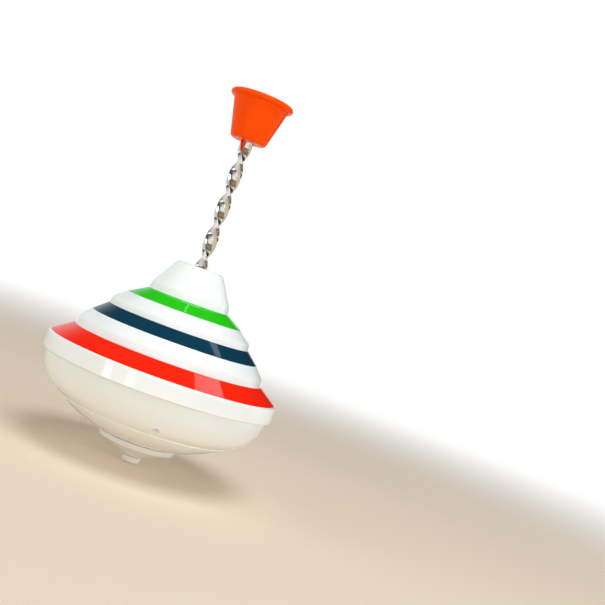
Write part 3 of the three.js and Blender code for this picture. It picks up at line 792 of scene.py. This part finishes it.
def drill(name, centre, radius, under, top):
    """A round cutter, or a round post, between two heights."""
    outline = [(0, under), (radius, under), (radius, top), (0, top)]
    return turned(name, outline, SMALL_ROUND, centre)


door_low, door_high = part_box("battery_door")
door_spans = [(door_low.x / MM, door_high.x / MM), (door_low.y / MM, door_high.y / MM)]


def door_block(gap):
    """The upright block that the door is cut from, larger by the gap all round."""
    low = [span[0] - gap for span in door_spans]
    high = [span[1] + gap for span in door_spans]
    return block("door_cutter", (*low, UNDER_ALL), (*high, OVER_DOOR))


def bowl_room():
    """The space inside the bowl and a little of its wall, which trims a tube to the bowl."""
    wall = BOWL_WALL - TUBE_REACH
    inside = bulge(wall, 16)
    outline = [(BOWL_RADIUS - wall, BOWL_TOP), *inside, (0, inside[-1].y), (0, BOWL_TOP)]
    return turned("room", outline)


bowl = turned("bowl", bowl_points())
for angle in SCREW_ANGLES:
    well = on_circle(SCREW_CIRCLE, angle)
    tube = combine(drill("tube", well, TUBE_RADIUS, 20, TUBE_TOP), bowl_room(), "INTERSECT")
    combine(bowl, tube, "UNION")
    combine(bowl, drill("well", well, WELL_RADIUS, 15, WELL_TOP), "DIFFERENCE")
    combine(bowl, drill("shank_hole", well, SHANK_HOLE, 20, 40), "DIFFERENCE")
combine(bowl, drill("tip_hole", (0, 0), TIP_HOLE, UNDER_ALL, TIP_HOLE_TOP), "DIFFERENCE")
combine(bowl, door_block(DOOR_GAP), "DIFFERENCE")
dress(bowl, WHITE_ABS, "body", "white_shell", "lower_shell")

door = turned("battery_hatch", bowl_points())
combine(door, door_block(0), "INTERSECT")
combine(door, drill("pad", DOOR_SCREW, DOOR_PAD, 18.5, DOOR_PAD_TOP), "UNION")
head_well = drill("head_well", DOOR_SCREW, DOOR_WELL_RADIUS, UNDER_ALL, DOOR_WELL_TOP)
combine(door, head_well, "DIFFERENCE")
combine(door, drill("shank_hole", DOOR_SCREW, DOOR_SHANK_HOLE, UNDER_ALL, 25), "DIFFERENCE")
dress(door, WHITE_ABS, "body", "white_shell", "battery_door")

# %% [markdown]
# ## Foot and tip
#
# The foot cap fits round a step under the bowl, so a fine line shows where they meet, and a
# cone leads from its ring down to a small collar. The tip is a separate pin of hard nylon
# with a rounded end, because it wears on the floor.

# %% Foot and tip
COLLAR_UNDER = 5.9
RING_TOP, RING_RADIUS = 13.6, 18.3
SOCKET, SOCKET_TOP = 3.2, 11.6          # the bore that takes the tip's spigot
TIP_TOP, SPIGOT_RADIUS, SPIGOT_TOP = 5.6, 2.9, 9.5
TIP_BORE, TIP_BORE_UNDER = 1.4, 3.9     # the bore that takes the tip's screw
TIP_ROUND = 120                         # facets round the tip

foot = turned("foot_ring", rounded([
    (SOCKET, COLLAR_UNDER, 0), (4.9, COLLAR_UNDER, 0.3), (17.1, 11.2, 0.7),
    (RING_RADIUS, 13.2, 0.4), (RING_RADIUS, RING_TOP, 0.15), (15.5, RING_TOP, 0),
    (15.5, 11.4, 0.3), (12.0, 10.2, 0.8), (5.2, 8.6, 0.5), (5.2, SOCKET_TOP, 0.2),
    (SOCKET, SOCKET_TOP, 0),
]))
dress(foot, WHITE_ABS, "body", "white_shell", "foot_cap")

tip = turned("tip_pin", rounded([
    (0, TIP_POINT, 0), (1.0, TIP_POINT, 3), (3.9, 2.9, 1.0), (4.5, TIP_TOP, 0.2),
    (SPIGOT_RADIUS, TIP_TOP, 0), (SPIGOT_RADIUS, SPIGOT_TOP, 0.2), (TIP_BORE, SPIGOT_TOP, 0),
    (TIP_BORE, TIP_BORE_UNDER, 0), (0, TIP_BORE_UNDER, 0),
]), TIP_ROUND)
dress(tip, WHITE_NYLON, "body", "white_tip", "tip")

# %% [markdown]
# ## The twisted strip
#
# The rod is a flat steel strip twisted to the left, one turn in 30 mm. A sweep of one
# section, turned in step with its height, gives exactly that surface. The section's corners
# are rounded, as on wire that was rolled flat, and they draw the bright lines along it. Each
# flat is divided across its width too, because a twisted flat is curved, and its reflections
# would break at every edge of a single wide face.

# %% Strip
LEAD = 30.0
EDGE_ON = 98.5          # height where the width lies along Y
STRIP_WIDTH, STRIP_THICK = 5.6, 2.2
STRIP_FROM, STRIP_TO = 78.8, drawn_height("twisted_rod", 1)
CORNER = 0.35
STEPS_PER_TURN = 72
STRAND = 0.4            # the widest face across a flat
NECK_RADIUS, NECK_UNDER = 1.2, 74.2
HEAD_RADIUS, HEAD_UNDER, HEAD_TOP = 2.2, 73.7, 74.7
NECK_OVERLAP = 0.5      # how far the neck reaches into the strip


def strip_section(spare=0.0):
    """The rounded rectangle that is swept up the rod, larger by the spare all round."""
    half = Vector((STRIP_WIDTH / 2 + spare, STRIP_THICK / 2 + spare))
    signs = [(1, 1), (-1, 1), (-1, -1), (1, -1)]
    outline = rounded([(half.x * x, half.y * y, CORNER) for x, y in signs])
    section = []
    for start, end in zip(outline, outline[1:] + outline[:1]):
        parts = max(1, math.ceil((end - start).length / STRAND))
        section += [start.lerp(end, k / parts) for k in range(parts)]
    return section


def twisted(name, section, under, top):
    """Sweeps a section up the axis, turning it in step with its height."""
    shape = bmesh.new()
    steps = math.ceil((top - under) / LEAD * STEPS_PER_TURN)
    layers = []
    for k in range(steps + 1):
        z = under + (top - under) * k / steps
        turn = Matrix.Rotation(math.pi / 2 - 2 * math.pi * (z - EDGE_ON) / LEAD, 3, "Z")
        places = [turn @ Vector((*p, 0)) + Vector((0, 0, z)) for p in section]
        layers.append([shape.verts.new(place * MM) for place in places])
    for lower, upper in zip(layers, layers[1:]):
        for i in range(len(section)):
            j = (i + 1) % len(section)
            shape.faces.new([lower[i], lower[j], upper[j], upper[i]])
    shape.faces.new(layers[0])
    shape.faces.new(layers[-1])
    return as_object(name, shape)


strip = twisted("strip", strip_section(), STRIP_FROM, STRIP_TO)
neck = drill("neck", (0, 0), NECK_RADIUS, NECK_UNDER, STRIP_FROM + NECK_OVERLAP)
combine(strip, neck, "UNION")
combine(strip, drill("peened_head", (0, 0), HEAD_RADIUS, HEAD_UNDER, HEAD_TOP), "UNION")
dress(strip, BRIGHT_NICKEL, "rod", "bright_strip", "twisted_rod")

# %% [markdown]
# ## The finger cup
#
# The cup is thin-walled with a rolled bead round its mouth, and its underside is slightly
# crowned. Inside, a boss takes the strip and six thin ribs tie the boss to the wall.

# %% Finger cup
CUP_UNDER, CUP_TOP = (drawn_height("handle_cup", corner) for corner in (0, 1))
CUP_FLOOR = CUP_UNDER + 1.8
CUP_ROUND = 180                         # facets round the cup
BEAD = 1.35
BEAD_CENTRE = Vector((13.0, CUP_TOP - BEAD))
BEAD_FROM, BEAD_SWEEP, BEAD_STEPS = -110, 300, 24  # degrees, and parts of the arc
BOSS_RADIUS, BOSS_TOP = 4.3, 166.0
RIBS, RIB_HALF = 6, 0.55
RIB_UNDER = CUP_FLOOR - 0.4             # a rib starts a little inside the floor
SLOT_SPARE = 0.1

bead_shares = [k / BEAD_STEPS for k in range(BEAD_STEPS + 1)]
bead_angles = [math.radians(BEAD_FROM + BEAD_SWEEP * share) for share in bead_shares]
bead_points = [BEAD_CENTRE + BEAD * Vector((math.cos(t), math.sin(t))) for t in bead_angles]
cup = turned("finger_cup", rounded([
    (0, CUP_UNDER, 0), (7.4, CUP_UNDER + 0.15, 0.8), (8.2, CUP_UNDER + 0.8, 0.8),
    (12.35, 169.3, 0.6), *[(*p, 0) for p in bead_points], (11.2, 170.2, 0.3),
    (6.9, CUP_FLOOR, 0.8), (BOSS_RADIUS, CUP_FLOOR, 0.4), (BOSS_RADIUS, BOSS_TOP, 0.3),
    (0, BOSS_TOP, 0),
]), CUP_ROUND)
rib_room = [(0, RIB_UNDER), (7.2, RIB_UNDER), (10.8, BOSS_TOP), (0, BOSS_TOP)]
for k in range(RIBS):
    rib = block("rib", (3, -RIB_HALF, RIB_UNDER), (11.6, RIB_HALF, BOSS_TOP))
    rib.data.transform(Matrix.Rotation(2 * math.pi * k / RIBS, 4, "Z"))
    combine(rib, turned("rib_room", rib_room, 60), "INTERSECT")
    combine(cup, rib, "UNION")
slot = twisted("slot", strip_section(SLOT_SPARE), CUP_UNDER - 1, BOSS_TOP + 1)
combine(cup, slot, "DIFFERENCE")
dress(cup, ORANGE_POLYPROPYLENE, "rod", "orange_cup", "handle_cup")

# %% [markdown]
# ## Pieces that keep their CAD shape
#
# The mechanism, the electronics and the fasteners have the right shape already, so each node
# only gets its finish, and a small bevel that breaks its moulded or stamped edges.

# %% Finishes of the carried-over nodes
FINISHES = {
    "plated_steel": ZINC_PLATE_WITH_WELL_SHADE, "natural_acetal": ACETAL, "green_board": BOARD_MASK,
    "red_lens": RED_LENS, "green_lens": GREEN_LENS, "blue_lens": BLUE_LENS,
    "black_epoxy": BLACK_EPOXY, "black_abs": BLACK_ABS, "phosphor_bronze": ROLLED_BRONZE,
    "turned_brass": TURNED_BRASS, "cell_steel": CELL_NICKEL, "red_wire": RED_PVC,
    "black_wire": BLACK_PVC,
}
BROKEN_EDGE = 0.08                    # millimetres
BROKEN_ABOVE = math.radians(40)       # only edges that bend more than this are broken
carried = 0
for subpart in frame["record"]["subparts"]:
    node = frame["nodes"][subpart["node"]]
    if node.hide_render:
        continue
    node.data.materials.clear()
    node.data.materials.append(FINISHES[subpart["material_slot"]])
    bevel = node.modifiers.new("broken_edges", "BEVEL")
    bevel.width, bevel.segments, bevel.limit_method = BROKEN_EDGE * MM, 2, "ANGLE"
    bevel.angle_limit = BROKEN_ABOVE
    carried += 1
print(carried, "nodes keep their CAD shape")
